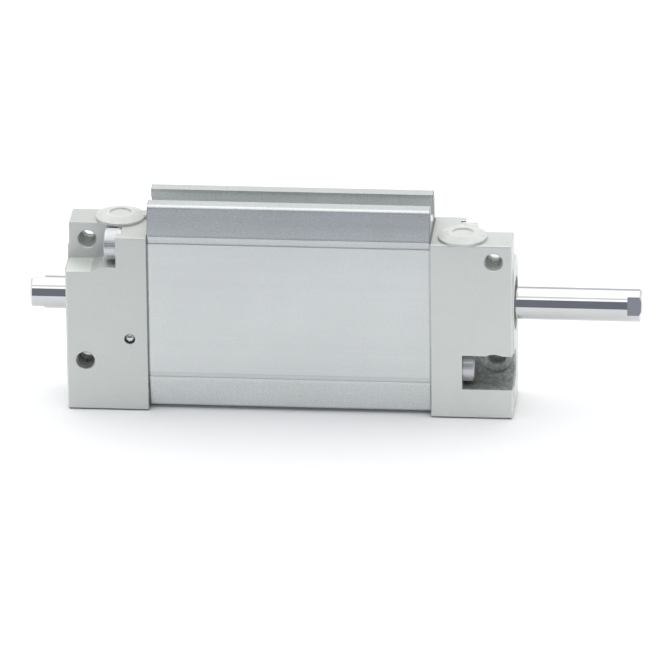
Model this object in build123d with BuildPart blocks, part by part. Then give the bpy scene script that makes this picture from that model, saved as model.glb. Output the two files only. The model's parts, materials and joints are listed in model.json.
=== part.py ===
from build123d import *
import os

os.makedirs("parts", exist_ok=True)

# Flat double-acting cylinder: an oval piston in a slotted barrel, with a rod
# through both caps. Sizes are in millimetres. +X runs along the rod to the end
# that stands out further, +Y runs through the flat body to its back, +Z is up.
# The origin is on the rod axis, at the middle of the four mounting holes.
# Every piece of the left end is modelled once, and the right end has the same
# pieces turned half round the Z axis.

# Stroke, and how far right of mid-stroke the rod stands
stroke = 20.0
rest_offset = 8.0

# Oval bore and what runs in it
bore_width = 9.0
bore_height = 14.5
piston_length = 15.5
piston_clearance = 0.10
seal_clearance = 0.04
end_gap = 0.25

# Rod
rod_diameter = 6.0
rod_clearance = 0.03
rod_overhang = 4.75
rod_edge_chamfer = 0.35
flat_width = 5.0
flat_length = 2.5
flat_angle = -18.0
rod_thread_diameter = 2.5
rod_thread_depth = 7.0
rod_thread_chamfer = 0.3
stud_diameter = 4.0
stud_engagement = 6.0
stud_clearance = 0.05
stud_end_room = 0.5

# Barrel section
barrel_thickness = 13.0
barrel_half_height = 19.5
flat_half_height = 12.5
line_groove_width = 0.9
line_groove_depth = 0.25
line_groove_margin = 0.5
rail_half_width = 5.3
rail_edge_radius = 0.7
slot_mouth = 5.2
slot_lip = 1.5
slot_inner_width = 6.6
slot_depth = 4.9
slot_corner = 0.8

# Caps
cap_length = 14.8
cap_thickness = 13.4
cap_top = 13.7
cap_bottom = -20.0
cap_corner_radius = 0.3
cap_edge_chamfer = 0.2
land_rise = 0.25
land_width = 10.4
land_height = 27.4
land_middle = -4.3
land_radius = 4.0
land_edge_chamfer = 0.1
spigot_length = 6.0
spigot_clearance = 0.04

# Mounting holes and the pockets that let their screws in
mount_inset = 3.3
mount_height = 10.5
mount_diameter = 3.3
mount_chamfer = 0.15
top_pocket_floor = 6.85
top_pocket_length = 7.0
top_pocket_radius = 3.0
bottom_pocket_diameter = 6.1

# Cap screws and their channels
screw_y = 3.35
screw_z = 11.1
screw_diameter = 3.0
screw_length = 16.0
screw_clearance = 0.15
thread_clearance = 0.03
tapped_spare_depth = 1.0
head_diameter = 5.5
head_height = 3.0
head_edge_radius = 0.3
hex_width = 2.5
hex_depth = 1.5
head_clearance = 0.2
channel_radius = 3.3
channel_end = 5.7
head_seat = 4.9

# Ports, air ways and the ball that closes the cross drilling
port_inset = 5.7
port_y = 2.9
port_diameter = 4.2
port_depth = 5.5
port_chamfer = 0.25
port_drill_diameter = 1.8
air_way_diameter = 1.4
air_way_y = 2.2
air_way_z = 4.4
cross_inset = 3.4
cross_z = -6.1
cross_drill_diameter = 1.4
ball_diameter = 2.0
ball_recess = 0.12
ball_clearance = 0.01
lower_way_z = -5.6

# Port plugs
plug_rim_diameter = 8.9
plug_rim_height = 0.5
plug_crown_diameter = 5.0
plug_crown_height = 1.1
plug_dish_diameter = 4.0
plug_dish_depth = 0.3
plug_stem_length = 4.0
plug_stem_clearance = 0.05
plug_stem_wall = 0.7
plug_tab_width = 2.0
plug_tab_overhang = 0.9
plug_tab_inset = 0.6
plug_tab_height = 0.65
left_tab_angle = 10.0
right_tab_angle = 74.0

# Bush, seals, bumpers and magnet
bush_wall = 0.4
bush_length = 10.0
rod_passage_clearance = 0.3
rod_seal_diameter = 9.8
rod_seal_length = 3.8
rod_seal_recess = 0.3
rod_seal_cavity = 0.6
rod_seal_lip = 0.7
seat_clearance = 0.02
cap_seal_width = 1.2
cap_seal_groove_width = 1.5
cap_seal_groove_depth = 0.7
cap_seal_wall = 1.6
bumper_thickness = 1.5
bumper_clearance = 0.3
piston_seal_width = 2.0
piston_seal_groove_depth = 1.1
piston_seal_land = 1.3
piston_seal_lip = 0.6
band_width = 4.5
band_thickness = 0.6
magnet_thickness = 0.7
ring_side_clearance = 0.05

# Places worked out from the sizes above
barrel_length = stroke + piston_length + 2 * (spigot_length + bumper_thickness + end_gap)
joint_x = -barrel_length / 2
outer_x = joint_x - cap_length
land_x = outer_x - land_rise
spigot_x = joint_x + spigot_length
bumper_x = spigot_x + bumper_thickness
cap_middle = (cap_top + cap_bottom) / 2
cap_height = cap_top - cap_bottom
mount_x = outer_x + mount_inset
channel_x = joint_x - channel_end
seat_x = joint_x - head_seat
port_x = joint_x - port_inset
cross_x = joint_x - cross_inset
rod_radius = rod_diameter / 2
rod_passage = rod_radius + rod_passage_clearance
bush_radius = rod_radius + rod_clearance + bush_wall
bush_end = spigot_x - bush_length
seal_outer_x = land_x + rod_seal_recess
seal_inner_x = seal_outer_x + rod_seal_length
seal_floor_x = seal_inner_x + seat_clearance
piston_left = rest_offset - piston_length / 2
piston_right = rest_offset + piston_length / 2
rod_reach = stroke / 2 + cap_length + land_rise + rod_overhang + barrel_length / 2
left_tip = rest_offset - rod_reach
right_tip = rest_offset + rod_reach
past_the_part = 3 * cap_thickness


def oval(inset, mode=Mode.ADD):
    """The bore's oval, made smaller all round by inset, in the open sketch."""
    SlotOverall(bore_height - 2 * inset, bore_width - 2 * inset, rotation=90, mode=mode)


def oval_ring(start_x, length, outer_inset, inner_inset):
    """A plain band that follows the bore's oval, with its ends square to X."""
    with BuildPart() as ring:
        with BuildSketch(Plane.YZ.offset(start_x)):
            oval(outer_inset)
            oval(inner_inset, Mode.SUBTRACT)
        extrude(amount=length)
    return ring


def half_turned(piece, name):
    """The same piece on the right end, turned half round the Z axis."""
    with BuildPart() as turned:
        add(piece.part, rotation=(0, 0, 180))
    turned.part.label = name
    export_step(turned.part, f"parts/{name}.step")


# Barrel: an extruded section with a shallow line groove beside each flat side,
# beyond which the sides lean in to the two rails of a sensor slot
with BuildPart() as barrel:
    with BuildSketch(Plane.YZ) as section:
        side_y = barrel_thickness / 2
        groove_y = side_y - line_groove_depth
        groove_top = flat_half_height + line_groove_width
        with BuildLine():
            Polyline(
                (side_y, 0),
                (side_y, flat_half_height),
                (groove_y, flat_half_height),
                (groove_y, groove_top),
                (side_y, groove_top),
                (side_y, groove_top + line_groove_margin),
                (rail_half_width, barrel_half_height),
                (0, barrel_half_height),
            )
            mirror(about=Plane.YZ)
            mirror(about=Plane.XZ)
        make_face()
        rail_corners = section.vertices().filter_by(lambda v: abs(v.Y) > barrel_half_height - 0.01)
        fillet(rail_corners.filter_by(lambda v: abs(v.X) > 0.01), rail_edge_radius)
        for side in (1, -1):
            lip_z = side * (barrel_half_height - slot_lip)
            floor_z = side * (barrel_half_height - slot_depth)
            corner_z = floor_z + side * slot_corner
            with BuildLine():
                Polyline(
                    (0, side * barrel_half_height),
                    (slot_mouth / 2, side * barrel_half_height),
                    (slot_mouth / 2, lip_z),
                    (slot_inner_width / 2, lip_z),
                    (slot_inner_width / 2, corner_z),
                    (slot_inner_width / 2 - slot_corner, floor_z),
                    (0, floor_z),
                )
                mirror(about=Plane.YZ)
            make_face(mode=Mode.SUBTRACT)
        oval(0, Mode.SUBTRACT)
    extrude(amount=barrel_length / 2, both=True)
    # Tapped holes: two in each end, on opposite corners
    tapped_depth = screw_length - head_seat + tapped_spare_depth
    for end in (1, -1):
        with BuildSketch(Plane.YZ.offset(end * barrel_length / 2)):
            with Locations((end * screw_y, screw_z), (-end * screw_y, -screw_z)):
                Circle(screw_diameter / 2 + thread_clearance)
        extrude(amount=-end * tapped_depth, mode=Mode.SUBTRACT)
barrel.part.label = "barrel"
export_step(barrel.part, "parts/barrel.step")


# Left cap: a plate with a raised land on its end face, a spigot that plugs the
# bore, and a pocket at two opposite corners that opens towards each screw
with BuildPart() as left_cap:
    with BuildSketch(Plane.YZ.offset(outer_x)):
        with Locations((0, cap_middle)):
            RectangleRounded(cap_thickness, cap_height, cap_corner_radius)
    extrude(amount=cap_length)
    plate_ends = faces().filter_by(Axis.X)
    chamfer(plate_ends.edges(), cap_edge_chamfer)

    with BuildSketch(Plane.YZ.offset(outer_x)):
        with Locations((0, land_middle)):
            RectangleRounded(land_width, land_height, land_radius)
    extrude(amount=-land_rise)
    chamfer(faces().sort_by(Axis.X)[0].edges(), land_edge_chamfer)

    with BuildSketch(Plane.YZ.offset(joint_x)):
        oval(spigot_clearance)
    extrude(amount=spigot_length)
    groove_x = joint_x + cap_seal_wall
    with BuildSketch(Plane.YZ.offset(groove_x)):
        oval(-spigot_clearance)
        oval(cap_seal_groove_depth, Mode.SUBTRACT)
    extrude(amount=cap_seal_groove_width, mode=Mode.SUBTRACT)

    # Rod bore: bush seat from the inside, seal chamber from the outside
    with BuildSketch(Plane.YZ.offset(land_x)):
        Circle(rod_passage)
    extrude(amount=spigot_x - land_x, mode=Mode.SUBTRACT)
    with BuildSketch(Plane.YZ.offset(spigot_x)):
        Circle(bush_radius + seat_clearance)
    extrude(amount=bush_end - spigot_x, mode=Mode.SUBTRACT)
    with BuildSketch(Plane.YZ.offset(land_x)):
        Circle(rod_seal_diameter / 2 + seat_clearance)
    extrude(amount=seal_floor_x - land_x, mode=Mode.SUBTRACT)

    # Top pocket, milled from the front to the middle plane and open at the top
    with BuildSketch(Plane.XZ) as top_pocket:
        with Locations((outer_x + top_pocket_length, top_pocket_floor)):
            Rectangle(past_the_part, past_the_part, align=(Align.MAX, Align.MIN))
        fillet(top_pocket.vertices().sort_by(Axis.X)[-2:].sort_by(Axis.Y)[0], top_pocket_radius)
    extrude(amount=past_the_part, mode=Mode.SUBTRACT)

    # Bottom pocket, a counterbore from the back to the middle plane
    with BuildSketch(Plane.XZ):
        with Locations((mount_x, -mount_height)):
            Circle(bottom_pocket_diameter / 2)
    extrude(amount=-past_the_part, mode=Mode.SUBTRACT)

    # Mounting holes through the half that each pocket leaves
    for side in (1, -1):
        with BuildSketch(Plane.XZ):
            with Locations((mount_x, side * mount_height)):
                Circle(mount_diameter / 2)
        extrude(amount=-side * past_the_part, mode=Mode.SUBTRACT)
    mount_mouths = edges().filter_by(GeomType.CIRCLE)
    mount_mouths = mount_mouths.filter_by(lambda e: abs(e.radius - mount_diameter / 2) < 0.001)
    chamfer(mount_mouths, mount_chamfer)

    # Screw channels: half round at the bottom, open to a flat side and the end
    for side in (1, -1):
        with BuildSketch(Plane.YZ.offset(channel_x)):
            with Locations((-side * screw_y, side * screw_z)):
                Circle(channel_radius)
            with Locations((-side * (screw_y + past_the_part / 2), side * screw_z)):
                Rectangle(past_the_part, 2 * channel_radius)
        extrude(amount=-past_the_part, mode=Mode.SUBTRACT)
        with BuildSketch(Plane.YZ.offset(seat_x)):
            with Locations((-side * screw_y, side * screw_z)):
                Circle(head_diameter / 2 + head_clearance)
        extrude(amount=channel_x - seat_x, mode=Mode.SUBTRACT)
        with BuildSketch(Plane.YZ.offset(joint_x)):
            with Locations((-side * screw_y, side * screw_z)):
                Circle(screw_diameter / 2 + screw_clearance)
        extrude(amount=seat_x - joint_x, mode=Mode.SUBTRACT)

    # Port, its drilling down, and the air way along the spigot
    with BuildSketch(Plane.XY.offset(cap_top)):
        with Locations((port_x, port_y)):
            Circle(port_diameter / 2)
    extrude(amount=-port_depth, mode=Mode.SUBTRACT)
    with BuildSketch(Plane.XY.offset(air_way_z)):
        with Locations((port_x, port_y)):
            Circle(port_drill_diameter / 2)
    extrude(amount=cap_top - air_way_z, mode=Mode.SUBTRACT)
    with BuildSketch(Plane.YZ.offset(spigot_x)):
        with Locations((air_way_y, air_way_z)):
            Circle(air_way_diameter / 2)
    extrude(amount=port_x - spigot_x, mode=Mode.SUBTRACT)
    port_mouth = edges().filter_by(GeomType.CIRCLE)
    port_mouth = port_mouth.filter_by(lambda e: abs(e.radius - port_diameter / 2) < 0.001)
    chamfer(port_mouth.sort_by(Axis.Z)[-1], port_chamfer)

    # Cross drilling behind the ball, and the lower way that it meets
    with BuildSketch(Plane.XZ.offset(cap_thickness / 2)):
        with Locations((cross_x, cross_z)):
            Circle(ball_diameter / 2)
    extrude(amount=-ball_diameter, mode=Mode.SUBTRACT)
    with BuildSketch(Plane.XZ):
        with Locations((cross_x, cross_z)):
            Circle(cross_drill_diameter / 2)
    extrude(amount=cap_thickness / 2, mode=Mode.SUBTRACT)
    with BuildSketch(Plane.YZ.offset(spigot_x)):
        with Locations((0, lower_way_z)):
            Circle(air_way_diameter / 2)
    extrude(amount=cross_x - spigot_x, mode=Mode.SUBTRACT)
left_cap.part.label = "left_cap"
export_step(left_cap.part, "parts/left_cap.step")
half_turned(left_cap, "right_cap")


# Oval sealing ring in the spigot's groove
left_cap_seal = oval_ring(
    groove_x + (cap_seal_groove_width - cap_seal_width) / 2,
    cap_seal_width,
    seat_clearance,
    cap_seal_groove_depth - seat_clearance,
)
left_cap_seal.part.label = "left_cap_seal"
export_step(left_cap_seal.part, "parts/left_cap_seal.step")
half_turned(left_cap_seal, "right_cap_seal")


# Rod bush, pressed into the spigot
with BuildPart() as left_rod_bush:
    with BuildSketch(Plane.YZ.offset(bush_end)):
        Circle(bush_radius)
        Circle(rod_radius + rod_clearance, mode=Mode.SUBTRACT)
    extrude(amount=bush_length)
left_rod_bush.part.label = "left_rod_bush"
export_step(left_rod_bush.part, "parts/left_rod_bush.step")
half_turned(left_rod_bush, "right_rod_bush")


# Rod seal: a ring with a wiping lip outside, a sealing lip inside and a
# grease room between them
with BuildPart() as left_rod_seal:
    with BuildSketch(Plane.XY):
        lip_radius = rod_radius + rod_clearance
        room_radius = lip_radius + rod_seal_cavity
        with BuildLine():
            Polyline(
                (seal_outer_x, rod_seal_diameter / 2),
                (seal_outer_x, room_radius),
                (seal_outer_x, lip_radius),
                (seal_outer_x + rod_seal_lip, lip_radius),
                (seal_outer_x + 2 * rod_seal_lip, room_radius),
                (seal_inner_x - 2 * rod_seal_lip, room_radius),
                (seal_inner_x - rod_seal_lip, lip_radius),
                (seal_inner_x, lip_radius),
                (seal_inner_x, rod_seal_diameter / 2),
                close=True,
            )
        make_face()
    revolve(axis=Axis.X)
left_rod_seal.part.label = "left_rod_seal"
export_step(left_rod_seal.part, "parts/left_rod_seal.step")
half_turned(left_rod_seal, "right_rod_seal")


# Bumper plate on the spigot's end, pierced by the rod and both air ways
with BuildPart() as left_bumper:
    with BuildSketch(Plane.YZ.offset(spigot_x)):
        oval(bumper_clearance)
        Circle(rod_passage, mode=Mode.SUBTRACT)
        with Locations((air_way_y, air_way_z), (0, lower_way_z)):
            Circle(air_way_diameter / 2, mode=Mode.SUBTRACT)
    extrude(amount=bumper_thickness)
left_bumper.part.label = "left_bumper"
export_step(left_bumper.part, "parts/left_bumper.step")
half_turned(left_bumper, "right_bumper")


# Ball that closes the cross drilling in the flat side
with BuildPart() as left_ball:
    with BuildSketch(Plane.XY.offset(cross_z)):
        with Locations((cross_x, -cap_thickness / 2 + ball_recess + ball_diameter / 2)):
            Circle(ball_diameter / 2 - ball_clearance)
            Rectangle(ball_diameter, ball_diameter, align=(Align.MAX, Align.CENTER), mode=Mode.SUBTRACT)
    ball_y = -cap_thickness / 2 + ball_recess + ball_diameter / 2
    revolve(axis=Axis((cross_x, ball_y, cross_z), (0, 1, 0)))
left_ball.part.label = "left_ball"
export_step(left_ball.part, "parts/left_ball.step")
half_turned(left_ball, "right_ball")


# Socket head screws: two hold each cap
for side, place in ((1, "top"), (-1, "bottom")):
    with BuildPart() as left_screw:
        with BuildSketch(Plane.YZ.offset(seat_x - head_height)):
            with Locations((-side * screw_y, side * screw_z)):
                Circle(head_diameter / 2)
        extrude(amount=head_height)
        fillet(faces().sort_by(Axis.X)[0].edges(), head_edge_radius)
        with BuildSketch(Plane.YZ.offset(seat_x - head_height)):
            with Locations((-side * screw_y, side * screw_z)):
                RegularPolygon(hex_width / 2, 6, major_radius=False)
        extrude(amount=hex_depth, mode=Mode.SUBTRACT)
        with BuildSketch(Plane.YZ.offset(seat_x)):
            with Locations((-side * screw_y, side * screw_z)):
                Circle(screw_diameter / 2)
        extrude(amount=screw_length)
    left_screw.part.label = f"left_screw_{place}"
    export_step(left_screw.part, f"parts/left_screw_{place}.step")
    half_turned(left_screw, f"right_screw_{place}")


# Port plugs: a hollow stem under a shallow dome with a dished crown, whose rim
# lies on the cap and carries a pull tab
stem_radius = port_diameter / 2 - plug_stem_clearance
rim_radius = plug_rim_diameter / 2
for end, name, tab_angle in (
    (1, "left_port_plug", left_tab_angle),
    (-1, "right_port_plug", right_tab_angle),
):
    plug_x = end * port_x
    plug_y = end * port_y
    with BuildPart() as port_plug:
        with BuildSketch(Plane.XZ.offset(-plug_y)):
            with BuildLine():
                Polyline(
                    (plug_x, cap_top),
                    (plug_x + stem_radius - plug_stem_wall, cap_top),
                    (plug_x + stem_radius - plug_stem_wall, cap_top - plug_stem_length),
                    (plug_x + stem_radius, cap_top - plug_stem_length),
                    (plug_x + stem_radius, cap_top),
                    (plug_x + rim_radius, cap_top),
                    (plug_x + rim_radius, cap_top + plug_rim_height),
                    (plug_x + plug_crown_diameter / 2, cap_top + plug_crown_height),
                    (plug_x + plug_dish_diameter / 2, cap_top + plug_crown_height),
                    (plug_x + plug_dish_diameter / 2, cap_top + plug_crown_height - plug_dish_depth),
                    (plug_x, cap_top + plug_crown_height - plug_dish_depth),
                    close=True,
                )
            make_face()
        revolve(axis=Axis((plug_x, plug_y, 0), (0, 0, 1)))
        with BuildSketch(Plane.XY.offset(cap_top)):
            with Locations((plug_x, plug_y)):
                with PolarLocations(rim_radius - plug_tab_inset, 1, start_angle=tab_angle):
                    Rectangle(
                        plug_tab_inset + plug_tab_overhang,
                        plug_tab_width,
                        align=(Align.MIN, Align.CENTER),
                    )
        extrude(amount=plug_tab_height)
    port_plug.part.label = name
    export_step(port_plug.part, f"parts/{name}.step")


# Piston: an oval block with a groove near each end and a wide one between them
groove_half = piston_seal_width / 2 + ring_side_clearance
band_groove_depth = band_thickness + magnet_thickness + seal_clearance + seat_clearance
with BuildPart() as piston:
    with BuildSketch(Plane.YZ.offset(piston_left)):
        oval(piston_clearance)
        Circle(stud_diameter / 2 + stud_clearance, mode=Mode.SUBTRACT)
    extrude(amount=piston_length)
    seal_offset = piston_length / 2 - piston_seal_land - groove_half
    for offset, half_width, depth in (
        (-seal_offset, groove_half, piston_seal_groove_depth),
        (0, band_width / 2 + ring_side_clearance, band_groove_depth),
        (seal_offset, groove_half, piston_seal_groove_depth),
    ):
        with BuildSketch(Plane.YZ.offset(rest_offset + offset)):
            oval(0)
            oval(depth, Mode.SUBTRACT)
        extrude(amount=half_width, both=True, mode=Mode.SUBTRACT)
piston.part.label = "piston"
export_step(piston.part, "parts/piston.step")


# Piston seals: oval rings, each with a thinner lip that faces its own chamber
for end, name in ((-1, "left_piston_seal"), (1, "right_piston_seal")):
    seal_middle = rest_offset + end * seal_offset
    with BuildPart() as piston_seal:
        with BuildSketch(Plane.YZ.offset(seal_middle - end * piston_seal_width / 2)):
            oval(seal_clearance)
            oval(piston_seal_groove_depth - seat_clearance, Mode.SUBTRACT)
        extrude(amount=end * piston_seal_width)
        with BuildSketch(Plane.YZ.offset(seal_middle)):
            oval(seal_clearance + piston_seal_lip / 2)
            oval(piston_seal_groove_depth - piston_seal_lip / 2, Mode.SUBTRACT)
        extrude(amount=end * piston_seal_width, mode=Mode.SUBTRACT)
    piston_seal.part.label = name
    export_step(piston_seal.part, f"parts/{name}.step")


# Magnet band in the middle groove, and the guide band round it
band_left = rest_offset - band_width / 2
magnet_inset = seal_clearance + band_thickness
magnet = oval_ring(band_left, band_width, magnet_inset, magnet_inset + magnet_thickness)
magnet.part.label = "piston_magnet"
export_step(magnet.part, "parts/piston_magnet.step")
guide_band = oval_ring(band_left, band_width, seal_clearance, magnet_inset)
guide_band.part.label = "guide_band"
export_step(guide_band.part, "parts/guide_band.step")


# Rods: the right one has a stud that holds the piston against the left one.
# Each tip has a threaded hole, a chamfered edge and two wrench flats.
with BuildPart() as right_rod:
    with BuildSketch(Plane.YZ.offset(piston_right)):
        Circle(rod_radius)
    extrude(amount=right_tip - piston_right)
    chamfer(faces().sort_by(Axis.X)[-1].edges(), rod_edge_chamfer)
    with BuildSketch(Plane.YZ.offset(piston_right)):
        Circle(stud_diameter / 2)
    extrude(amount=-(piston_length + stud_engagement))
    with BuildSketch(Plane.YZ.offset(right_tip)):
        Rectangle(2 * rod_diameter, 2 * rod_diameter, rotation=flat_angle)
        Rectangle(flat_width, 2 * rod_diameter, rotation=flat_angle, mode=Mode.SUBTRACT)
    extrude(amount=-flat_length, mode=Mode.SUBTRACT)
    with BuildSketch(Plane.YZ.offset(right_tip)):
        Circle(rod_thread_diameter / 2)
    extrude(amount=-rod_thread_depth, mode=Mode.SUBTRACT)
    tip_mouth = faces().sort_by(Axis.X)[-1].edges().filter_by(GeomType.CIRCLE)
    tip_mouth = tip_mouth.filter_by(lambda e: abs(e.radius - rod_thread_diameter / 2) < 0.001)
    chamfer(tip_mouth, rod_thread_chamfer)
right_rod.part.label = "right_rod"
export_step(right_rod.part, "parts/right_rod.step")

with BuildPart() as left_rod:
    with BuildSketch(Plane.YZ.offset(piston_left)):
        Circle(rod_radius)
    extrude(amount=left_tip - piston_left)
    chamfer(faces().sort_by(Axis.X)[0].edges(), rod_edge_chamfer)
    with BuildSketch(Plane.YZ.offset(piston_left)):
        Circle(stud_diameter / 2 + stud_clearance)
    extrude(amount=-(stud_engagement + stud_end_room), mode=Mode.SUBTRACT)
    with BuildSketch(Plane.YZ.offset(left_tip)):
        Rectangle(2 * rod_diameter, 2 * rod_diameter, rotation=flat_angle)
        Rectangle(2 * rod_diameter, flat_width, rotation=flat_angle, mode=Mode.SUBTRACT)
    extrude(amount=flat_length, mode=Mode.SUBTRACT)
    with BuildSketch(Plane.YZ.offset(left_tip)):
        Circle(rod_thread_diameter / 2)
    extrude(amount=rod_thread_depth, mode=Mode.SUBTRACT)
    tip_mouth = faces().sort_by(Axis.X)[0].edges().filter_by(GeomType.CIRCLE)
    tip_mouth = tip_mouth.filter_by(lambda e: abs(e.radius - rod_thread_diameter / 2) < 0.001)
    chamfer(tip_mouth, rod_thread_chamfer)
left_rod.part.label = "left_rod"
export_step(left_rod.part, "parts/left_rod.step")
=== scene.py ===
import json
import math

import bmesh
import bpy
from bpy.props import FloatProperty, FloatVectorProperty, IntProperty, PointerProperty
from mathutils import Matrix, Vector


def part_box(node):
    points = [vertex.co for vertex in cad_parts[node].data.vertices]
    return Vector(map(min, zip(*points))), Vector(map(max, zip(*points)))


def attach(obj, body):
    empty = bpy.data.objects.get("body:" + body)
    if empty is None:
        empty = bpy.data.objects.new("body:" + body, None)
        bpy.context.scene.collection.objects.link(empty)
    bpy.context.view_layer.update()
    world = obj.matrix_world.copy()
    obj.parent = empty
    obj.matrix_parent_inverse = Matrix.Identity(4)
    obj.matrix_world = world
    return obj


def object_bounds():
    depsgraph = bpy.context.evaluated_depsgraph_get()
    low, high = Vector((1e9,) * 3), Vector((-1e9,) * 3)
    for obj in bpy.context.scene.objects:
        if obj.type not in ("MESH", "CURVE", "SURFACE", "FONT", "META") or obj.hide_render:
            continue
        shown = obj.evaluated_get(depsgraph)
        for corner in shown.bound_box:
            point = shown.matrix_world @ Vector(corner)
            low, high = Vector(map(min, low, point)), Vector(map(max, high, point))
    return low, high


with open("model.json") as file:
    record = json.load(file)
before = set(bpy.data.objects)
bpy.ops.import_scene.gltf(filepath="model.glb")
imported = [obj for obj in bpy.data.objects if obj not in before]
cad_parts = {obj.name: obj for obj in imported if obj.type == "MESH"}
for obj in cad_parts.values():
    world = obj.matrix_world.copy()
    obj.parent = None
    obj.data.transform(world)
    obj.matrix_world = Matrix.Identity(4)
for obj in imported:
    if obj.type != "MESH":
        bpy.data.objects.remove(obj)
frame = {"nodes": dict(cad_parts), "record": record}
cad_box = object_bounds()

bl_info = {
    "name": "Flat Cylinder Finish",
    "version": (1, 0, 0),
    "blender": (4, 5, 0),
    "location": "View3D > Sidebar > Flat Cylinder",
    "description": "Finishes, threads, knurling and a studio for a flat through-rod cylinder",
    "category": "Object",
}

MM = 0.001
MICRON = 0.000001

# Like pieces that share a finish
CAPS = ("left_cap", "right_cap")
SCREWS = ("left_screw_top", "left_screw_bottom", "right_screw_top", "right_screw_bottom")
RODS = ("left_rod", "right_rod")
BUSHES = ("left_rod_bush", "right_rod_bush")
PLUGS = ("left_port_plug", "right_port_plug")
BALLS = ("left_ball", "right_ball")
SEALS = (
    "left_rod_seal", "right_rod_seal", "left_cap_seal", "right_cap_seal",
    "left_piston_seal", "right_piston_seal", "left_bumper", "right_bumper",
)


LOW, HIGH = 0, 1


def edge(name, end, axis):
    """The lowest or highest place of a node's box on an axis, to a hundredth of a millimetre."""
    return round(getattr(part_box(name)[end], axis), 5)


def mount(name):
    """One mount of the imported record."""
    return next(m for m in frame["record"]["mounts"] if m["name"] == name)


# Places that the finishes mark, most of them with painted shade or painted light
BARREL_END = edge("barrel", HIGH, "x")
CAP_TOP = edge("left_cap", HIGH, "z")
CAP_FOOT = edge("left_cap", LOW, "z")
CAP_SIDE = edge("left_cap", HIGH, "y")
LAND_RISE = 0.25 * MM
CAP_END = edge("right_cap", HIGH, "x") - LAND_RISE
ROD_RADIUS = edge("right_rod", HIGH, "y")
GROOVE_HEIGHT = 12.95 * MM
GROOVE_WIDTH = 0.9 * MM
UPPER_POCKET_FLOOR = 6.85 * MM
# Heights that bound the painted light on the upper pockets' floors and the painted shade in the lower
# pockets
UPPER_MARK_BOTTOM = 3.5 * MM
LOWER_MARK_TOP = -6.6 * MM
LOWER_MARK_BOTTOM = -19.5 * MM
# Span along X over which the caps' painted light rises from left to right
CAPS_PAINTED_LIGHT = (-20 * MM, 20 * MM)

# Where the barrel's painted shade and painted reflection change, up its height and, at the slot, out from
# its middle
RAIL_TOPS = (18.8 * MM, 19.2 * MM)
LEAN_START = (14.1 * MM, 14.3 * MM)
LEAN_FADE = (14.4 * MM, 16.4 * MM)
SLOT_WALL = (5.3 * MM, 5.45 * MM)

# Widths of the painted shade lines and of soft edges
JOINT_WIDTH = 0.3 * MM
FOOT_LINE = 0.21 * MM
RAIL_END_LINE = 0.09 * MM
SKIN = 0.05 * MM
POCKET_INSET = 0.1 * MM
FLOOR_MARGIN = 0.03 * MM
ROUND_MARGIN = 0.04 * MM

# A face mill's marks on a cap: the middle of its path, how much its arcs sag, and its feed
MILL_PATH = 32.7 * MM
MILL_SAG = 38.0
MILL_FEED = 0.42 * MM

# Noise that the metals share
GRAIN_SCALE = 5200.0
LINE_ROUGHNESS = 0.55
FINE_LINES = (18, 3600, 3600)
BROAD_LINES = (9, 420, 420)
RAGGED_EDGE = (900, 900, 900)

# Repeated details
RIB_SIDES = 4
RIB_SINK = 0.35
THREAD_STEPS = 28
THREAD_SIDES = 4
ROD_RIDGE_SHARE = 0.8
MERGE_DISTANCE = 1e-8

# Colours inside the cylinder and of its sealing balls
TURNED_ALUMINIUM = (0.78, 0.78, 0.79)
MAGNET_GREY = (0.05, 0.05, 0.055)
GUIDE_BROWN = (0.30, 0.24, 0.17)
BUSH_BRONZE = (0.55, 0.37, 0.19)
BALL_STEEL = (0.70, 0.71, 0.72)

# The studio
PICTURE_WIDTH = 665
SENSOR_WIDTH = 36.0
FLOOR_HALF = 3.0
PAPER = (0.91, 0.915, 0.92)
PAPER_GLOW = 0.025
UNLIT_ROOM = (0.235, 0.25, 0.295, 1)
WHITE_WALL = (1.0, 1.0, 1.0, 1)
WALL_LEVEL = 1.06
WALL_DIMMING = 0.24

# Where the surroundings change, as parts of a unit direction
ROOM_EDGE = 0.02
ROOM_SIDES = (-0.35, 0.0)
DIM_BEHIND = (0.1, 0.8)
DIM_BELOW = (0.5, 0.8)


# Settings that a user would change

class FinishSettings(bpy.types.PropertyGroup):
    barrel_colour: FloatVectorProperty(
        name="Barrel", description="Clear anodised colour of the extruded barrel",
        subtype="COLOR", size=3, min=0, max=1, default=(0.675, 0.70, 0.695))
    cap_colour: FloatVectorProperty(
        name="Caps", description="Clear anodised colour of the machined caps",
        subtype="COLOR", size=3, min=0, max=1, default=(0.69, 0.712, 0.685))
    rod_colour: FloatVectorProperty(
        name="Rod", description="Colour of the polished rod",
        subtype="COLOR", size=3, min=0, max=1, default=(0.60, 0.605, 0.61))
    screw_colour: FloatVectorProperty(
        name="Screws", description="Colour of the bright cap screws",
        subtype="COLOR", size=3, min=0, max=1, default=(0.60, 0.61, 0.625))
    plug_colour: FloatVectorProperty(
        name="Port plugs", description="Colour of the natural plastic",
        subtype="COLOR", size=3, min=0, max=1, default=(0.61, 0.63, 0.60))
    rubber_colour: FloatVectorProperty(
        name="Rubber", description="Colour of seals and bumpers",
        subtype="COLOR", size=3, min=0, max=1, default=(0.018, 0.018, 0.02))
    satin: FloatProperty(
        name="Satin", description="Roughness of the anodised faces",
        subtype="FACTOR", min=0.05, max=1, default=0.40)
    polish: FloatProperty(
        name="Polish", description="Roughness of the rod",
        subtype="FACTOR", min=0.01, max=1, default=0.045)


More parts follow.
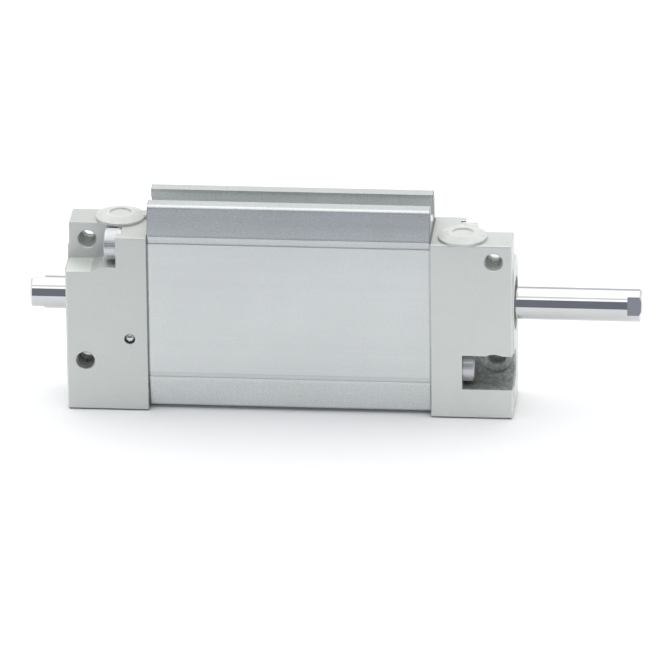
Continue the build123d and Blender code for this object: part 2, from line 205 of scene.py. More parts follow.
class DetailSettings(bpy.types.PropertyGroup):
    knurl_ribs: IntProperty(
        name="Knurl ribs", description="Ribs round each screw head", min=8, max=96, default=40)
    knurl_size: FloatProperty(
        name="Knurl size", description="Radius of one rib's section",
        unit="LENGTH", min=0.00001, max=0.001, precision=6, default=0.00006)
    head_height: FloatProperty(
        name="Head height", description="Height of a screw's head",
        unit="LENGTH", min=0.001, max=0.01, precision=5, default=0.003)
    head_edge: FloatProperty(
        name="Head edge", description="Plain rim left at each end of the knurling",
        unit="LENGTH", min=0, max=0.001, precision=5, default=0.00038)
    mount_pitch: FloatProperty(
        name="Mounting thread pitch", description="Pitch of the thread in the mounting holes",
        unit="LENGTH", min=0.0002, max=0.002, precision=5, default=0.0007)
    rod_pitch: FloatProperty(
        name="Rod thread pitch", description="Pitch of the thread in the rod's tips",
        unit="LENGTH", min=0.0002, max=0.002, precision=5, default=0.0005)
    thread_ridge: FloatProperty(
        name="Thread ridge", description="How far a thread's crest stands into its hole",
        unit="LENGTH", min=0.00002, max=0.0005, precision=6, default=0.00014)
    thread_lead_in: FloatProperty(
        name="Thread lead-in", description="Plain length at each end of a thread",
        unit="LENGTH", min=0, max=0.002, precision=5, default=0.0005)


class StageSettings(bpy.types.PropertyGroup):
    azimuth: FloatProperty(
        name="Camera azimuth", description="How far the camera stands towards the long rod end",
        subtype="ANGLE", default=math.radians(5.21))
    elevation: FloatProperty(
        name="Camera elevation", description="How far the camera looks down",
        subtype="ANGLE", default=math.radians(23.10))
    roll: FloatProperty(
        name="Camera roll", description="Tilt of the camera about its line of sight",
        subtype="ANGLE", default=math.radians(-0.69))
    distance: FloatProperty(
        name="Camera distance", description="From the aim point to the camera",
        unit="LENGTH", min=0.1, max=20, default=2.0)
    focal_pixels: FloatProperty(
        name="Focal length", description="In pixels of a picture 665 wide",
        min=100, max=50000, default=11064.0)
    aim: FloatVectorProperty(
        name="Aim", description="Point in the middle of the picture",
        subtype="TRANSLATION", unit="LENGTH", size=3, precision=6, default=(0.007257, 0, -0.006712))
    overhead: FloatProperty(
        name="Overhead light", description="What the softboxes add to the white above",
        min=0, max=20, default=0.76)
    surround: FloatProperty(
        name="Surround", description="Brightness of the white surroundings",
        min=0, max=10, default=0.97)
    front_height: FloatProperty(
        name="Dark front height", description="How high the unlit room behind the camera reaches",
        subtype="ANGLE", default=math.radians(44.5))
    box_height: FloatProperty(
        name="Softbox height", description="From the rod's axis up to the softboxes",
        unit="LENGTH", min=0.2, max=10, default=1.1)
    box_width: FloatProperty(
        name="Softbox width", description="Size of the softboxes along the rod",
        unit="LENGTH", min=0.2, max=20, default=3.0)
    gap_front: FloatProperty(
        name="Gap start", description="Height at which the dark gap between the softboxes starts",
        subtype="ANGLE", default=math.radians(58))
    gap_back: FloatProperty(
        name="Gap end", description="Height at which the dark gap between the softboxes ends",
        subtype="ANGLE", default=math.radians(69))
    box_reach: FloatProperty(
        name="Softbox reach", description="How far the back softbox reaches behind the cylinder",
        unit="LENGTH", min=0, max=10, default=1.6)
    table_front: FloatProperty(
        name="Table front", description="From the cylinder to the table's front edge",
        unit="LENGTH", min=0.13, max=5, default=0.14)
    contact_gap: FloatProperty(
        name="Contact gap", description="How far burrs hold the caps off the table",
        unit="LENGTH", min=0, max=0.001, precision=5, default=0.00011)


# Short ways to build node trees

def node(tree, kind, **values):
    """A new node with these properties."""
    made = tree.nodes.new(kind)
    for key, value in values.items():
        setattr(made, key, value)
    return made


def maths(tree, operation, first, second=None, third=None, clamp=False):
    """The result of one sum, whose terms are numbers or sockets."""
    made = node(tree, "ShaderNodeMath", operation=operation, use_clamp=clamp)
    for place, value in enumerate((first, second, third)):
        if value is None:
            continue
        if isinstance(value, (int, float)):
            made.inputs[place].default_value = value
        else:
            tree.links.new(value, made.inputs[place])
    return made.outputs[0]


def axes(tree, vector):
    """The X, Y and Z of a vector, by name."""
    parts = node(tree, "ShaderNodeSeparateXYZ")
    tree.links.new(vector, parts.inputs[0])
    return parts.outputs


def new_group(name, inputs, outputs):
    """A shader group that takes a place as its Vector, with its other inputs and its outputs."""
    tree = bpy.data.node_groups.new(name, "ShaderNodeTree")
    tree.interface.new_socket(name="Vector", in_out="INPUT", socket_type="NodeSocketVector")
    for label, default in inputs.items():
        socket = tree.interface.new_socket(name=label, in_out="INPUT", socket_type="NodeSocketFloat")
        socket.default_value = default
    for label in outputs:
        tree.interface.new_socket(name=label, in_out="OUTPUT", socket_type="NodeSocketFloat")
    return tree, node(tree, "NodeGroupInput").outputs, node(tree, "NodeGroupOutput").inputs


def stretched_noise(tree, coordinate, scale, detail):
    """Noise with a scale of its own along each axis."""
    mapping = node(tree, "ShaderNodeMapping")
    mapping.inputs["Scale"].default_value = scale
    noise = node(tree, "ShaderNodeTexNoise")
    noise.inputs["Scale"].default_value = 1.0
    noise.inputs["Detail"].default_value = detail
    noise.inputs["Roughness"].default_value = LINE_ROUGHNESS
    tree.links.new(coordinate, mapping.inputs["Vector"])
    tree.links.new(mapping.outputs["Vector"], noise.inputs["Vector"])
    return noise.outputs["Fac"]


# Shader groups that several finishes share

def drawn_lines_group():
    """Long fine lines along X, as an extruding die or a grinding belt leaves them."""
    tree, given, result = new_group("drawn_lines", {"Fineness": 1.0}, ("Lines", "Broad"))
    scaled = node(tree, "ShaderNodeVectorMath", operation="SCALE")
    tree.links.new(given["Vector"], scaled.inputs[0])
    tree.links.new(given["Fineness"], scaled.inputs["Scale"])
    tree.links.new(stretched_noise(tree, scaled.outputs[0], FINE_LINES, detail=3.0), result["Lines"])
    tree.links.new(stretched_noise(tree, scaled.outputs[0], BROAD_LINES, detail=2.0), result["Broad"])
    return tree


def handling_group():
    """Soft blotches and a fine grain, for the marks that handling leaves."""
    tree, given, result = new_group("handling", {"Blotch Scale": 90.0}, ("Blotches", "Grain"))
    blotch = node(tree, "ShaderNodeTexNoise")
    blotch.inputs["Detail"].default_value = 3.0
    tree.links.new(given["Vector"], blotch.inputs["Vector"])
    tree.links.new(given["Blotch Scale"], blotch.inputs["Scale"])
    grain = node(tree, "ShaderNodeTexNoise")
    grain.inputs["Scale"].default_value = GRAIN_SCALE
    grain.inputs["Detail"].default_value = 2.0
    tree.links.new(given["Vector"], grain.inputs["Vector"])
    tree.links.new(blotch.outputs["Fac"], result["Blotches"])
    tree.links.new(grain.outputs["Fac"], result["Grain"])
    return tree


def mill_marks_group():
    """Arcs that a face mill leaves as it passes along Z, and lines along X on the top."""
    tree, given, result = new_group("mill_marks", {"Feed": MILL_FEED, "Cap Top": CAP_TOP}, ("Marks",))
    place = axes(tree, given["Vector"])
    across = maths(tree, "SUBTRACT", maths(tree, "ABSOLUTE", place["X"]), MILL_PATH)
    sag = maths(tree, "MULTIPLY", maths(tree, "MULTIPLY", across, across), MILL_SAG)
    height = maths(tree, "ADD", place["Z"], sag)
    top = maths(tree, "GREATER_THAN", place["Z"], maths(tree, "SUBTRACT", given["Cap Top"], SKIN))
    change = maths(tree, "SUBTRACT", place["Y"], height)
    height = maths(tree, "MULTIPLY_ADD", top, change, height)
    turns = maths(tree, "DIVIDE", height, given["Feed"])
    wave = maths(tree, "SINE", maths(tree, "MULTIPLY", turns, 2 * math.pi))
    tree.links.new(maths(tree, "MULTIPLY_ADD", wave, 0.5, 0.5), result["Marks"])
    return tree


def shade_and_highlight_lines_group():
    """Masks for painted shade on the line grooves' floors and along their edges nearer the barrel's
    middle, at the joints of barrel and caps, on the caps' feet and at the rails' ends, for a painted
    highlight in the grooves' corners, and for the rails.
    """
    tree, given, result = new_group(
        "worn_lines",
        {
            "Groove Height": GROOVE_HEIGHT, "Groove Width": GROOVE_WIDTH, "Joint Place": BARREL_END,
            "Joint Width": JOINT_WIDTH, "Cap Top": CAP_TOP, "Foot Height": CAP_FOOT + FOOT_LINE,
        },
        (
            "Groove", "Groove Edge", "Groove Corner", "Left Joint", "Right Joint", "Foot",
            "Rail End", "Rails",
        ),
    )
    place = axes(tree, given["Vector"])
    height = maths(tree, "ABSOLUTE", place["Z"])

    def band(value, middle, width, soft):
        """1 across the width about the middle, and falling to 0 over the soft edge."""
        away = maths(tree, "ABSOLUTE", maths(tree, "SUBTRACT", value, middle))
        beyond = maths(tree, "SUBTRACT", away, maths(tree, "MULTIPLY", width, 0.5))
        return maths(tree, "SUBTRACT", 1.0, maths(tree, "DIVIDE", beyond, soft), clamp=True)

    def corner(middle):
        return band(height, middle, width=0.04 * MM, soft=0.02 * MM)

    # Painted shade on each line groove's floor
    groove = band(height, given["Groove Height"], given["Groove Width"], soft=0.12 * MM)
    tree.links.new(groove, result["Groove"])
    half = maths(tree, "MULTIPLY", given["Groove Width"], 0.5)
    inner = maths(tree, "SUBTRACT", given["Groove Height"], half)
    outer = maths(tree, "ADD", given["Groove Height"], half)
    # Painted shade along each groove's edge nearer the barrel's middle
    shaded = band(height, maths(tree, "ADD", inner, 0.1 * MM), width=0.16 * MM, soft=0.1 * MM)
    tree.links.new(shaded, result["Groove Edge"])
    # Painted highlight in the grooves' corners, lightening the shade there
    tree.links.new(maths(tree, "MAXIMUM", corner(inner), corner(outer)), result["Groove Corner"])

    # Painted shade in the joints between barrel and caps, ragged in width
    ragged = stretched_noise(tree, given["Vector"], RAGGED_EDGE, detail=2.0)
    width = maths(tree, "MULTIPLY", given["Joint Width"], maths(tree, "ADD", ragged, 0.5))
    below = maths(tree, "LESS_THAN", place["Z"], given["Cap Top"])
    for side, label in ((-1, "Left Joint"), (1, "Right Joint")):
        middle = maths(tree, "MULTIPLY", given["Joint Place"], side)
        joint = band(place["X"], middle, width, soft=0.1 * MM)
        tree.links.new(maths(tree, "MULTIPLY", joint, below), result[label])

    # Painted contact shadow on the caps' lowest edge and their undersides
    tree.links.new(maths(tree, "LESS_THAN", place["Z"], given["Foot Height"]), result["Foot"])
    # Painted shade at the rails' ends; the Rails mask only marks the rails, for their grain
    start = maths(tree, "SUBTRACT", given["Joint Place"], RAIL_END_LINE)
    end = maths(tree, "GREATER_THAN", maths(tree, "ABSOLUTE", place["X"]), start)
    above = maths(tree, "GREATER_THAN", height, given["Cap Top"])
    tree.links.new(maths(tree, "MULTIPLY", end, above), result["Rail End"])
    tree.links.new(above, result["Rails"])
    return tree


def cap_recesses_group():
    """Masks for a cap's top, for the floor of its upper pocket and for the inside of its lower pocket,
    where the caps' painted shade and painted light go.
    """
    tree, given, result = new_group(
        "cap_recesses",
        {"Cap Top": CAP_TOP, "Pocket Floor": UPPER_POCKET_FLOOR, "Depth": CAP_SIDE - POCKET_INSET},
        ("Top", "Upper Floor", "Lower Pocket"),
    )
    place = axes(tree, given["Vector"])

    def between_heights(low, high):
        above = maths(tree, "GREATER_THAN", place["Z"], low)
        return maths(tree, "MULTIPLY", above, maths(tree, "LESS_THAN", place["Z"], high))

    top = maths(tree, "GREATER_THAN", place["Z"], maths(tree, "SUBTRACT", given["Cap Top"], SKIN))
    tree.links.new(top, result["Top"])
    depth = maths(tree, "LESS_THAN", maths(tree, "ABSOLUTE", place["Y"]), given["Depth"])
    along = maths(tree, "LESS_THAN", maths(tree, "ABSOLUTE", place["X"]), CAP_END - POCKET_INSET)
    within = maths(tree, "MULTIPLY", depth, along)
    just_above = maths(tree, "ADD", given["Pocket Floor"], FLOOR_MARGIN)
    upper = between_heights(UPPER_MARK_BOTTOM, just_above)
    lower = between_heights(LOWER_MARK_BOTTOM, LOWER_MARK_TOP)
    tree.links.new(maths(tree, "MULTIPLY", upper, within), result["Upper Floor"])
    tree.links.new(maths(tree, "MULTIPLY", lower, within), result["Lower Pocket"])
    return tree


GROUPS = {
    "drawn_lines": drawn_lines_group, "handling": handling_group, "mill_marks": mill_marks_group,
    "worn_lines": shade_and_highlight_lines_group, "cap_recesses": cap_recesses_group,
}


def effect(name):
    """A shared group, built the first time that a finish asks for it."""
    return bpy.data.node_groups.get(name) or GROUPS[name]()


# Materials

class Finish:
    """A material with a Principled shader, and short ways to add to its colour, roughness and bump."""

    def __init__(self, name, metallic=0.0, roughness=0.5):
        self.material = bpy.data.materials.new(name)
        self.material.use_nodes = True
        self.tree = self.material.node_tree
        self.shader = self.tree.nodes["Principled BSDF"]
        self.shader.inputs["Metallic"].default_value = metallic
        self.shader.inputs["Roughness"].default_value = roughness
        self.place = node(self.tree, "ShaderNodeTexCoord").outputs["Object"]
        self.bumped = None

    def use(self, name, **values):
        """The outputs of a shared group, with these values at its inputs."""
        made = node(self.tree, "ShaderNodeGroup")
        made.node_tree = effect(name)
        self.tree.links.new(self.place, made.inputs["Vector"])
        for label, value in values.items():
            made.inputs[label.replace("_", " ")].default_value = value
        return made.outputs

    def feed(self, value, label):
        """Link a value to one of the shader's inputs."""
        self.tree.links.new(value, self.shader.inputs[label])

    def between(self, mask, low, high, start=0.25, end=0.75):
        """A value that runs from low to high as the mask runs from start to end."""
        made = node(self.tree, "ShaderNodeMapRange")
        made.inputs["To Min"].default_value = low
        made.inputs["To Max"].default_value = high
        made.inputs["From Min"].default_value = start
        made.inputs["From Max"].default_value = end
        self.tree.links.new(mask, made.inputs["Value"])
        return made.outputs["Result"]

    def where(self, mask, level, plain=1.0):
        """A value that is plain off the mask and level on it."""
        return self.between(mask, plain, level, 0.0, 1.0)

    def speckle(self, mask, noise, reach, start=0.25, end=0.75):
        """A value that is 1 off the mask, and on it follows the noise to reach above or below 1."""
        change = self.between(noise, -reach, reach, start, end)
        return maths(self.tree, "MULTIPLY_ADD", mask, change, 1.0)

    def shade(self, colour, *levels):
        """Base colour, multiplied by each of the values."""
        made = node(self.tree, "ShaderNodeRGB")
        made.outputs[0].default_value = (*colour, 1)
        current = made.outputs[0]
        for level in levels:
            times = node(self.tree, "ShaderNodeVectorMath", operation="SCALE")
            self.tree.links.new(current, times.inputs[0])
            self.tree.links.new(level, times.inputs["Scale"])
            current = times.outputs[0]
        self.feed(current, "Base Color")

    def polish(self, mask, roughness):
        """The roughness of a polished face, which the mask makes uneven."""
        return self.between(mask, roughness * 0.75, roughness * 1.35)

    def gloss(self, mask, low, high):
        """Roughness that follows the mask from low to high."""
        self.feed(self.between(mask, low, high), "Roughness")

    def bump(self, height, distance, strength):
        """A bump, on top of those made before it."""
        made = node(self.tree, "ShaderNodeBump")
        made.inputs["Distance"].default_value = distance
        made.inputs["Strength"].default_value = strength
        self.tree.links.new(height, made.inputs["Height"])
        if self.bumped:
            self.tree.links.new(self.bumped, made.inputs["Normal"])
        self.bumped = made.outputs["Normal"]
        self.feed(self.bumped, "Normal")


def dress(names, material):
    """Give these CAD nodes one material."""
    for name in names:
        slots = frame["nodes"][name].data.materials
        slots.clear()
        slots.append(material)


def extruded_anodise(settings):
    """Satin extrusion with coarser grain on the rails. Painted shade in the grooves, at the joints and
    rail ends, on the rail tops and in the slot, a painted highlight in the grooves' corners, and a
    painted reflection on the lean face.
    """
    finish = Finish("anodised_extrusion")
    drawn = finish.use("drawn_lines", Fineness=1.0)
    hands = finish.use("handling", Blotch_Scale=70.0)
    shade_and_highlight = finish.use("worn_lines")
    place = axes(finish.tree, finish.place)
    from_middle = maths(finish.tree, "ABSOLUTE", place["Y"])
    finish.shade(
        settings.barrel_colour,
        # Painted shade on the rail tops, a painted reflection that lightens the lean face most at its
        # foot, and painted shade within the rails' outer edges, which holds the slot
        finish.between(place["Z"], 1.0, 0.88, *RAIL_TOPS),
        finish.between(place["Z"], 1.0, 1.24, *LEAN_START),
        finish.between(place["Z"], 1.0, 0.90, *LEAN_FADE),
        finish.between(from_middle, 0.896, 1.0, *SLOT_WALL),
        finish.between(drawn["Broad"], 0.985, 1.01),
        finish.between(hands["Blotches"], 0.972, 1.023),
        finish.between(hands["Grain"], 0.94, 1.06),
        # Painted shade in the grooves and along their edges, and a painted highlight in their corners
        finish.where(shade_and_highlight["Groove"], 0.97),
        finish.where(shade_and_highlight["Groove Edge"], 0.85),
        finish.where(shade_and_highlight["Groove Corner"], 1.2),
        # Painted shade in the joints between barrel and caps, deeper at the left
        finish.where(shade_and_highlight["Left Joint"], 0.4),
        finish.where(shade_and_highlight["Right Joint"], 0.8),
        # Painted shade at the rails' ends
        finish.where(shade_and_highlight["Rail End"], 0.5),
        finish.speckle(shade_and_highlight["Rails"], hands["Grain"], reach=0.085),
    )
    rough = finish.between(drawn["Lines"], settings.satin - 0.05, settings.satin + 0.06)
    finish.feed(maths(finish.tree, "MULTIPLY_ADD", shade_and_highlight["Groove Corner"], 0.35, rough), "Roughness")
    finish.feed(finish.where(shade_and_highlight["Groove Corner"], 0.2, plain=0.88), "Metallic")
    finish.bump(drawn["Lines"], 4 * MICRON, 0.5)
    finish.bump(hands["Grain"], 6 * MICRON, 0.5)
    return finish.material


def machined_anodise(settings):
    """Milled caps, duller than the barrel. Painted light makes them lighter towards the right and on the
    upper pockets' floors; painted shade darkens their tops, the lower pockets, the joints and the feet.
    """
    finish = Finish("anodised_machined")
    mill = finish.use("mill_marks")
    hands = finish.use("handling", Blotch_Scale=110.0)
    pocket_shade_mottle = finish.use("handling", Blotch_Scale=1500.0)
    shade_and_highlight = finish.use("worn_lines")
    recess = finish.use("cap_recesses")
    place = axes(finish.tree, finish.place)
    finish.shade(
        settings.cap_colour,
        # Painted light, lighter towards the right end
        finish.between(place["X"], 0.985, 1.055, *CAPS_PAINTED_LIGHT),
        finish.between(mill["Marks"], 0.99, 1.01),
        finish.between(hands["Blotches"], 0.955, 1.03),
        finish.between(hands["Grain"], 0.95, 1.05),
        # Painted shade on the caps' tops
        finish.where(recess["Top"], 0.83),
        # Painted light on the upper pockets' floors
        finish.where(recess["Upper Floor"], 1.09),
        # Painted shade in the lower pockets
        finish.where(recess["Lower Pocket"], 0.66),
        # Painted shade in the joints between barrel and caps
        finish.where(shade_and_highlight["Left Joint"], 0.4),
        finish.where(shade_and_highlight["Right Joint"], 0.85),
        # Painted contact shadow on the caps' feet and undersides
        finish.where(shade_and_highlight["Foot"], 0.35),
        # Mottles the lower pockets' painted shade
        finish.speckle(recess["Lower Pocket"], pocket_shade_mottle["Blotches"], reach=0.22, start=0.35, end=0.65),
    )
    finish.feed(finish.where(recess["Upper Floor"], 0.3, plain=0.68), "Metallic")
    finish.gloss(hands["Blotches"], settings.satin + 0.06, settings.satin + 0.15)
    finish.bump(mill["Marks"], 1.2 * MICRON, 0.5)
    finish.bump(hands["Grain"], 3 * MICRON, 0.6)
    return finish.material


def polished_steel(name, colour, roughness, fineness):
    """Bright steel with faint lines, finer where fineness is higher."""
    finish = Finish(name, metallic=1.0)
    drawn = finish.use("drawn_lines", Fineness=fineness)
    hands = finish.use("handling", Blotch_Scale=160.0)
    finish.shade(colour, finish.between(hands["Blotches"], 0.95, 1.02))
    finish.feed(finish.polish(hands["Blotches"], roughness), "Roughness")
    finish.bump(drawn["Lines"], 1.2 * MICRON, 0.35)
    return finish.material


def chromed_rod(colour, roughness):
    """Polished all round, and fine-ground on the flats and ends, which lie inside the round. The ground
    faces are rougher, and their colour is lightened as painted light.
    """
    finish = Finish("hard_chromed_rod", metallic=1.0)
    drawn = finish.use("drawn_lines", Fineness=2.0)
    hands = finish.use("handling", Blotch_Scale=160.0)
    place = axes(finish.tree, finish.place)
    square = maths(finish.tree, "MULTIPLY", place["Y"], place["Y"])
    square = maths(finish.tree, "MULTIPLY_ADD", place["Z"], place["Z"], square)
    radius = maths(finish.tree, "SQRT", square)
    # The ground flats and ends: rougher, and painted light in their colour
    ground = maths(finish.tree, "LESS_THAN", radius, ROD_RADIUS - ROUND_MARGIN)
    finish.shade(colour, finish.between(hands["Blotches"], 0.95, 1.02), finish.where(ground, 1.32))
    polished = finish.polish(hands["Blotches"], roughness)
    finish.feed(maths(finish.tree, "MULTIPLY_ADD", ground, 0.24, polished), "Roughness")
    finish.bump(drawn["Lines"], 1.2 * MICRON, 0.35)
    return finish.material


def plain_metal(name, colour, roughness):
    """Turned or cast metal with an even, fine grain."""
    finish = Finish(name, metallic=1.0)
    hands = finish.use("handling", Blotch_Scale=260.0)
    finish.shade(colour, finish.between(hands["Blotches"], 0.9, 1.05))
    finish.gloss(hands["Grain"], roughness * 0.8, roughness * 1.2)
    finish.bump(hands["Grain"], 4 * MICRON, 0.5)
    return finish.material


def moulded(name, colour, roughness, grain=6 * MICRON):
    """Plastic or rubber from a mould, whose grain stands this high."""
    finish = Finish(name)
    hands = finish.use("handling", Blotch_Scale=300.0)
    finish.shade(colour, finish.between(hands["Blotches"], 0.9, 1.08))
    finish.gloss(hands["Grain"], roughness - 0.08, roughness + 0.08)
    finish.bump(hands["Grain"], grain, 0.6)
    return finish


# Geometry Nodes

def new_grower(name, inputs):
    """A node tree that makes its own geometry from named inputs."""
    tree = bpy.data.node_groups.new(name, "GeometryNodeTree")
    tree.interface.new_socket(name="Geometry", in_out="OUTPUT", socket_type="NodeSocketGeometry")
    for label, kind, default in inputs:
        socket = tree.interface.new_socket(name=label, in_out="INPUT", socket_type=kind)
        if default is not None:
            socket.default_value = default
    return tree, node(tree, "NodeGroupInput").outputs, node(tree, "NodeGroupOutput").inputs


def finish_grower(tree, given, result, geometry):
    """End the tree in real geometry that has its material."""
    realised = node(tree, "GeometryNodeRealizeInstances")
    painted = node(tree, "GeometryNodeSetMaterial")
    tree.links.new(geometry, realised.inputs["Geometry"])
    tree.links.new(realised.outputs["Geometry"], painted.inputs["Geometry"])
    tree.links.new(given["Material"], painted.inputs["Material"])
    tree.links.new(painted.outputs["Geometry"], result["Geometry"])
    return tree


def knurl_grower():
    """Straight ribs round a screw's head, whose axis lies along X."""
    tree, given, result = new_grower("head_knurl", [
        ("Ribs", "NodeSocketInt", 40),
        ("Head Radius", "NodeSocketFloat", 2.75 * MM),
        ("Rib Size", "NodeSocketFloat", 0.1 * MM),
        ("Rib Length", "NodeSocketFloat", 2 * MM),
        ("Centre", "NodeSocketVector", None),
        ("Material", "NodeSocketMaterial", None),
    ])
    step = maths(tree, "DIVIDE", 2 * math.pi, given["Ribs"])
    angle = maths(tree, "MULTIPLY", node(tree, "GeometryNodeInputIndex").outputs[0], step)
    spot = node(tree, "ShaderNodeCombineXYZ")
    radius = given["Head Radius"]
    tree.links.new(maths(tree, "MULTIPLY", maths(tree, "COSINE", angle), radius), spot.inputs["Y"])
    tree.links.new(maths(tree, "MULTIPLY", maths(tree, "SINE", angle), radius), spot.inputs["Z"])
    placed = node(tree, "ShaderNodeVectorMath", operation="ADD")
    tree.links.new(spot.outputs[0], placed.inputs[0])
    tree.links.new(given["Centre"], placed.inputs[1])
    points = node(tree, "GeometryNodePoints")
    tree.links.new(given["Ribs"], points.inputs["Count"])
    tree.links.new(placed.outputs[0], points.inputs["Position"])
    bar = node(tree, "GeometryNodeMeshCylinder", fill_type="NGON")
    bar.inputs["Vertices"].default_value = RIB_SIDES
    tree.links.new(given["Rib Size"], bar.inputs["Radius"])
    tree.links.new(given["Rib Length"], bar.inputs["Depth"])
    along = node(tree, "GeometryNodeTransform")
    along.inputs["Rotation"].default_value = (0, math.pi / 2, 0)
    tree.links.new(bar.outputs["Mesh"], along.inputs["Geometry"])
    turn = node(tree, "ShaderNodeCombineXYZ")
    tree.links.new(angle, turn.inputs["X"])
    copies = node(tree, "GeometryNodeInstanceOnPoints")
    tree.links.new(points.outputs[0], copies.inputs["Points"])
    tree.links.new(along.outputs[0], copies.inputs["Instance"])
    tree.links.new(turn.outputs[0], copies.inputs["Rotation"])
    return finish_grower(tree, given, result, copies.outputs["Instances"])


def thread_grower():
    """A thread's ridge, wound along a hole with its middle at Centre."""
    tree, given, result = new_grower("hole_thread", [
        ("Hole Radius", "NodeSocketFloat", 1.65 * MM),
        ("Pitch", "NodeSocketFloat", 0.7 * MM),
        ("Length", "NodeSocketFloat", 6 * MM),
        ("Ridge", "NodeSocketFloat", 0.1 * MM),
        ("Centre", "NodeSocketVector", None),
        ("Turned", "NodeSocketVector", None),
        ("Material", "NodeSocketMaterial", None),
    ])
    length = given["Length"]
    spiral = node(tree, "GeometryNodeCurveSpiral")
    spiral.inputs["Resolution"].default_value = THREAD_STEPS
    tree.links.new(maths(tree, "DIVIDE", length, given["Pitch"]), spiral.inputs["Rotations"])
    tree.links.new(given["Hole Radius"], spiral.inputs["Start Radius"])
    tree.links.new(given["Hole Radius"], spiral.inputs["End Radius"])
    tree.links.new(length, spiral.inputs["Height"])
    section = node(tree, "GeometryNodeCurvePrimitiveCircle")
    section.inputs["Resolution"].default_value = THREAD_SIDES
    tree.links.new(given["Ridge"], section.inputs["Radius"])
    swept = node(tree, "GeometryNodeCurveToMesh")
    swept.inputs["Fill Caps"].default_value = True
    tree.links.new(spiral.outputs[0], swept.inputs["Curve"])
    tree.links.new(section.outputs[0], swept.inputs["Profile Curve"])
    lowered = node(tree, "GeometryNodeTransform")
    drop = node(tree, "ShaderNodeCombineXYZ")
    tree.links.new(maths(tree, "MULTIPLY", length, -0.5), drop.inputs["Z"])
    tree.links.new(swept.outputs[0], lowered.inputs["Geometry"])
    tree.links.new(drop.outputs[0], lowered.inputs["Translation"])
    placed = node(tree, "GeometryNodeTransform")
    tree.links.new(lowered.outputs[0], placed.inputs["Geometry"])
    tree.links.new(given["Turned"], placed.inputs["Rotation"])
    tree.links.new(given["Centre"], placed.inputs["Translation"])
    return finish_grower(tree, given, result, placed.outputs[0])


def grown(tree, **values):
    """The tree's result, as a plain mesh."""
    host = bpy.data.objects.new("grower", bpy.data.meshes.new("grower"))
    bpy.context.scene.collection.objects.link(host)
    modifier = host.modifiers.new("grow", "NODES")
    modifier.node_group = tree
    for item in tree.interface.items_tree:
        label = item.name.replace(" ", "_")
        if item.in_out == "INPUT" and label in values:
            modifier[item.identifier] = values[label]
    evaluated = host.evaluated_get(bpy.context.evaluated_depsgraph_get())
    mesh = bpy.data.meshes.new_from_object(evaluated)
    bpy.data.objects.remove(host)
    return mesh


def one_piece(name, meshes, material, body):
    """One object from several meshes, riding on a body."""
    joined = bmesh.new()
    for mesh in meshes:
        joined.from_mesh(mesh)
        bpy.data.meshes.remove(mesh)
    bmesh.ops.remove_doubles(joined, verts=joined.verts, dist=MERGE_DISTANCE)
    bmesh.ops.recalc_face_normals(joined, faces=joined.faces)
    mesh = bpy.data.meshes.new(name)
    joined.to_mesh(mesh)
    joined.free()
    mesh.materials.clear()
    mesh.materials.append(material)
    piece = bpy.data.objects.new(name, mesh)
    bpy.context.scene.collection.objects.link(piece)
    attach(piece, body)


# Operators, one for each piece or group of like pieces

class FLATCYL_OT_barrel(bpy.types.Operator):
    """Give the barrel its extruded, clear anodised finish"""
    bl_idname = "flatcyl.barrel"
    bl_label = "Barrel"

    def execute(self, context):
        dress(["barrel"], extruded_anodise(context.scene.flatcyl_finish))
        return {"FINISHED"}


class FLATCYL_OT_caps(bpy.types.Operator):
    """Give both caps their machined, clear anodised finish"""
    bl_idname = "flatcyl.caps"
    bl_label = "Caps"

    def execute(self, context):
        dress(CAPS, machined_anodise(context.scene.flatcyl_finish))
        return {"FINISHED"}


class FLATCYL_OT_rods(bpy.types.Operator):
    """Polish both halves of the rod"""
    bl_idname = "flatcyl.rods"
    bl_label = "Rods"

    def execute(self, context):
        finish = context.scene.flatcyl_finish
        dress(RODS, chromed_rod(finish.rod_colour, finish.polish))
        return {"FINISHED"}


class FLATCYL_OT_piston(bpy.types.Operator):
    """Finish the piston, its magnet and guide band, and the rod's bushes"""
    bl_idname = "flatcyl.piston"
    bl_label = "Piston"

    def execute(self, context):
        dress(["piston"], plain_metal("turned_aluminium", TURNED_ALUMINIUM, roughness=0.3))
        dress(["piston_magnet"], moulded("bonded_magnet", MAGNET_GREY, roughness=0.6).material)
        dress(["guide_band"], moulded("bearing_plastic", GUIDE_BROWN, roughness=0.5).material)
        dress(BUSHES, plain_metal("bearing_bronze", BUSH_BRONZE, roughness=0.35))
        return {"FINISHED"}


class FLATCYL_OT_seals(bpy.types.Operator):
    """Finish the rubber seals and bumpers"""
    bl_idname = "flatcyl.seals"
    bl_label = "Seals"

    def execute(self, context):
        colour = context.scene.flatcyl_finish.rubber_colour
        dress(SEALS, moulded("seal_rubber", colour, roughness=0.5).material)
        return {"FINISHED"}


class FLATCYL_OT_screws(bpy.types.Operator):
    """Finish the cap screws and sealing balls, and knurl the screws' heads"""
    bl_idname = "flatcyl.screws"
    bl_label = "Cap screws"

    def execute(self, context):
        detail = context.scene.flatcyl_detail
        colour = context.scene.flatcyl_finish.screw_colour
        material = polished_steel("bright_screw", colour, roughness=0.36, fineness=3.0)
        dress(SCREWS, material)
        dress(BALLS, polished_steel("bearing_ball", BALL_STEEL, roughness=0.12, fineness=4.0))
        tree = knurl_grower()
        meshes = []
        for name in SCREWS:
            low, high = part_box(name)
            outer = low.x if high.x < 0 else high.x
            centre = (low + high) / 2
            centre.x = outer - math.copysign(detail.head_height / 2, outer)
            meshes.append(grown(
                tree, Ribs=detail.knurl_ribs, Rib_Size=detail.knurl_size,
                Head_Radius=(high.z - low.z) / 2 - detail.knurl_size * RIB_SINK,
                Rib_Length=detail.head_height - 2 * detail.head_edge,
                Centre=centre, Material=material))
        one_piece("screw_head_knurls", meshes, material, "housing")
        return {"FINISHED"}


